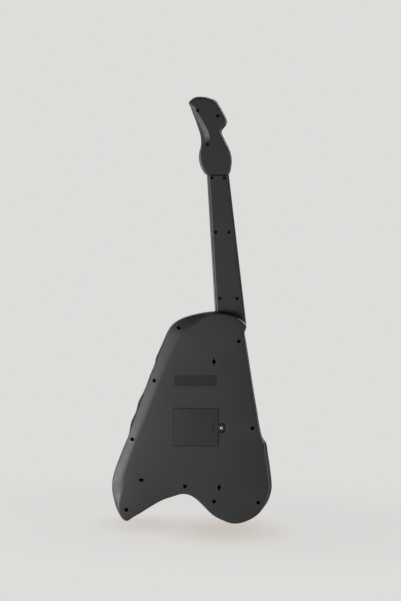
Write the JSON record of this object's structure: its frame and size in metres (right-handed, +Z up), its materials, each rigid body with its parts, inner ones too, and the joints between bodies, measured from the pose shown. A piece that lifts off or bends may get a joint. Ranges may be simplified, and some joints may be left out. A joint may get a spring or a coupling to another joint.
{
  "type": "toy electric guitar",
  "caption": "Battery-powered toy electric guitar: screwed two-part body with a forked foot, bolt-on neck and headstock, fret keys, buttons, knobs, speaker, sprung arm and battery door.",
  "frame": {"origin": "middle of the footprint of the standing guitar, on the floor under its two lobes", "axes": "+Z up along the guitar towards the headstock, +Y out of the flat back, -Y out of the played front"},
  "size_m": [0.2239, 0.062, 0.595],
  "materials": {
    "shell_black": "fine textured satin",
    "shell_front": "satin gloss",
    "plate_red": "gloss",
    "trim_cream": "satin",
    "fretboard_brown": "satin",
    "silver_plastic": "metallic paint",
    "key_red": "gloss",
    "key_yellow": "gloss",
    "key_green": "gloss",
    "key_blue": "gloss",
    "key_orange": "gloss",
    "button_white": "gloss",
    "knob_black": "gloss",
    "lens_amber": "clear tinted",
    "label_grey": "matt",
    "steel": "plated",
    "chrome": "bright",
    "string_steel": "drawn wire",
    "pcb_green": "solder mask",
    "component_black": "moulded",
    "silicone_grey": "matt",
    "paper_black": "pulp",
    "box_black": "matt",
    "cell_jacket": "printed film",
    "wire_red": "gloss",
    "wire_black": "gloss",
    "wire_grey": "gloss"
  },
  "bodies": {
    "guitar": {"body_back_shell": "shell_black", "rating_label": "label_grey", "body_front_shell": "shell_front", "front_plate": "plate_red", "front_plate_trim": "trim_cream", "plate_screws": "steel", "neck_front_shell": "shell_front", "neck_back_cover": "shell_black", "headstock_back_cover": "shell_black", "body_screws": "steel", "small_screws": "steel", "fretboard": "fretboard_brown", "fret_dots": "trim_cream", "frets": "silver_plastic", "nut": "trim_cream", "neck_pcb": "pcb_green", "contact_pads": "silicone_grey", "headstock_plate": "plate_red", "tuner_posts": "silver_plastic", "speaker_grille": "silver_plastic", "speaker_frame": "steel", "speaker_cone": "paper_black", "speaker_magnet": "steel", "main_pcb": "pcb_green", "pcb_components": "component_black", "led_lenses": "lens_amber", "potentiometers": "steel", "power_switch_body": "component_black", "string_anchor": "silver_plastic", "bridge": "silver_plastic", "bridge_saddles": "chrome", "strings": "string_steel", "pickup_covers": "knob_black", "pickup_poles": "chrome", "whammy_bracket": "silver_plastic", "whammy_pin": "steel", "whammy_spring": "steel", "battery_box": "box_black", "batteries": "cell_jacket", "battery_contacts": "chrome", "wire_battery_red": "wire_red", "wire_battery_black": "wire_black", "wires_signal": "wire_grey", "neck_ribbon": "wire_grey"},
    "battery_door_body": {"battery_door": "shell_black", "battery_door_screw": "steel"},
    "volume_knob_body": {"volume_knob": "knob_black"},
    "tone_knob_body": {"tone_knob": "knob_black"},
    "power_switch_body_slider": {"power_switch_slider": "silver_plastic"},
    "whammy_arm_body": {"whammy_arm": "silver_plastic"},
    "play_button_body": {"play_button": "key_orange"},
    "mode_button_1_body": {"mode_button_1": "button_white"},
    "mode_button_2_body": {"mode_button_2": "key_yellow"},
    "mode_button_3_body": {"mode_button_3": "key_blue"},
    "mode_button_4_body": {"mode_button_4": "key_green"},
    "fret_key_1_body": {"fret_key_1": "key_green"},
    "fret_key_2_body": {"fret_key_2": "key_red"},
    "fret_key_3_body": {"fret_key_3": "key_yellow"},
    "fret_key_4_body": {"fret_key_4": "key_blue"},
    "fret_key_5_body": {"fret_key_5": "key_orange"}
  },
  "joints": [
    {"name": "battery_door_hinge", "type": "hinge", "parent": "guitar", "child": "battery_door_body", "pos_m": [0.02694, 0.031, 0.13412], "axis": [-0.0251, 0, -0.9997], "range_deg": [0, 50]},
    {"name": "volume_knob_turn", "type": "hinge", "parent": "guitar", "child": "volume_knob_body", "pos_m": [-0.0646, -0.012, 0.046], "axis": [0, 1, 0], "range_deg": [-150, 150]},
    {"name": "tone_knob_turn", "type": "hinge", "parent": "guitar", "child": "tone_knob_body", "pos_m": [-0.0346, -0.012, 0.061], "axis": [0, 1, 0], "range_deg": [-150, 150]},
    {"name": "power_switch_slide", "type": "slide", "parent": "guitar", "child": "power_switch_body_slider", "axis": [-1, 0, 0], "range_m": [0, 0.006]},
    {"name": "whammy_arm_tilt", "type": "hinge", "parent": "guitar", "child": "whammy_arm_body", "pos_m": [-0.03895, -0.0195, 0.09344], "axis": [-0.9934, 0, 0.1149], "range_deg": [-10, 6], "stiffness_Nm_per_rad": 0.2},
    {"name": "mode_button_1_press", "type": "slide", "parent": "guitar", "child": "mode_button_1_body", "axis": [0, 1, 0], "range_m": [0, 0.0014], "stiffness_N_per_m": 300},
    {"name": "mode_button_2_press", "type": "slide", "parent": "guitar", "child": "mode_button_2_body", "axis": [0, 1, 0], "range_m": [0, 0.0014], "stiffness_N_per_m": 300},
    {"name": "mode_button_3_press", "type": "slide", "parent": "guitar", "child": "mode_button_3_body", "axis": [0, 1, 0], "range_m": [0, 0.0014], "stiffness_N_per_m": 300},
    {"name": "mode_button_4_press", "type": "slide", "parent": "guitar", "child": "mode_button_4_body", "axis": [0, 1, 0], "range_m": [0, 0.0014], "stiffness_N_per_m": 300},
    {"name": "play_button_press", "type": "slide", "parent": "guitar", "child": "play_button_body", "axis": [0, 1, 0], "range_m": [0, 0.0014], "stiffness_N_per_m": 300},
    {"name": "fret_key_1_press", "type": "slide", "parent": "guitar", "child": "fret_key_1_body", "axis": [0, 1, 0], "range_m": [0, 0.0012], "stiffness_N_per_m": 300},
    {"name": "fret_key_2_press", "type": "slide", "parent": "guitar", "child": "fret_key_2_body", "axis": [0, 1, 0], "range_m": [0, 0.0012], "stiffness_N_per_m": 300},
    {"name": "fret_key_3_press", "type": "slide", "parent": "guitar", "child": "fret_key_3_body", "axis": [0, 1, 0], "range_m": [0, 0.0012], "stiffness_N_per_m": 300},
    {"name": "fret_key_4_press", "type": "slide", "parent": "guitar", "child": "fret_key_4_body", "axis": [0, 1, 0], "range_m": [0, 0.0012], "stiffness_N_per_m": 300},
    {"name": "fret_key_5_press", "type": "slide", "parent": "guitar", "child": "fret_key_5_body", "axis": [0, 1, 0], "range_m": [0, 0.0012], "stiffness_N_per_m": 300}
  ]
}
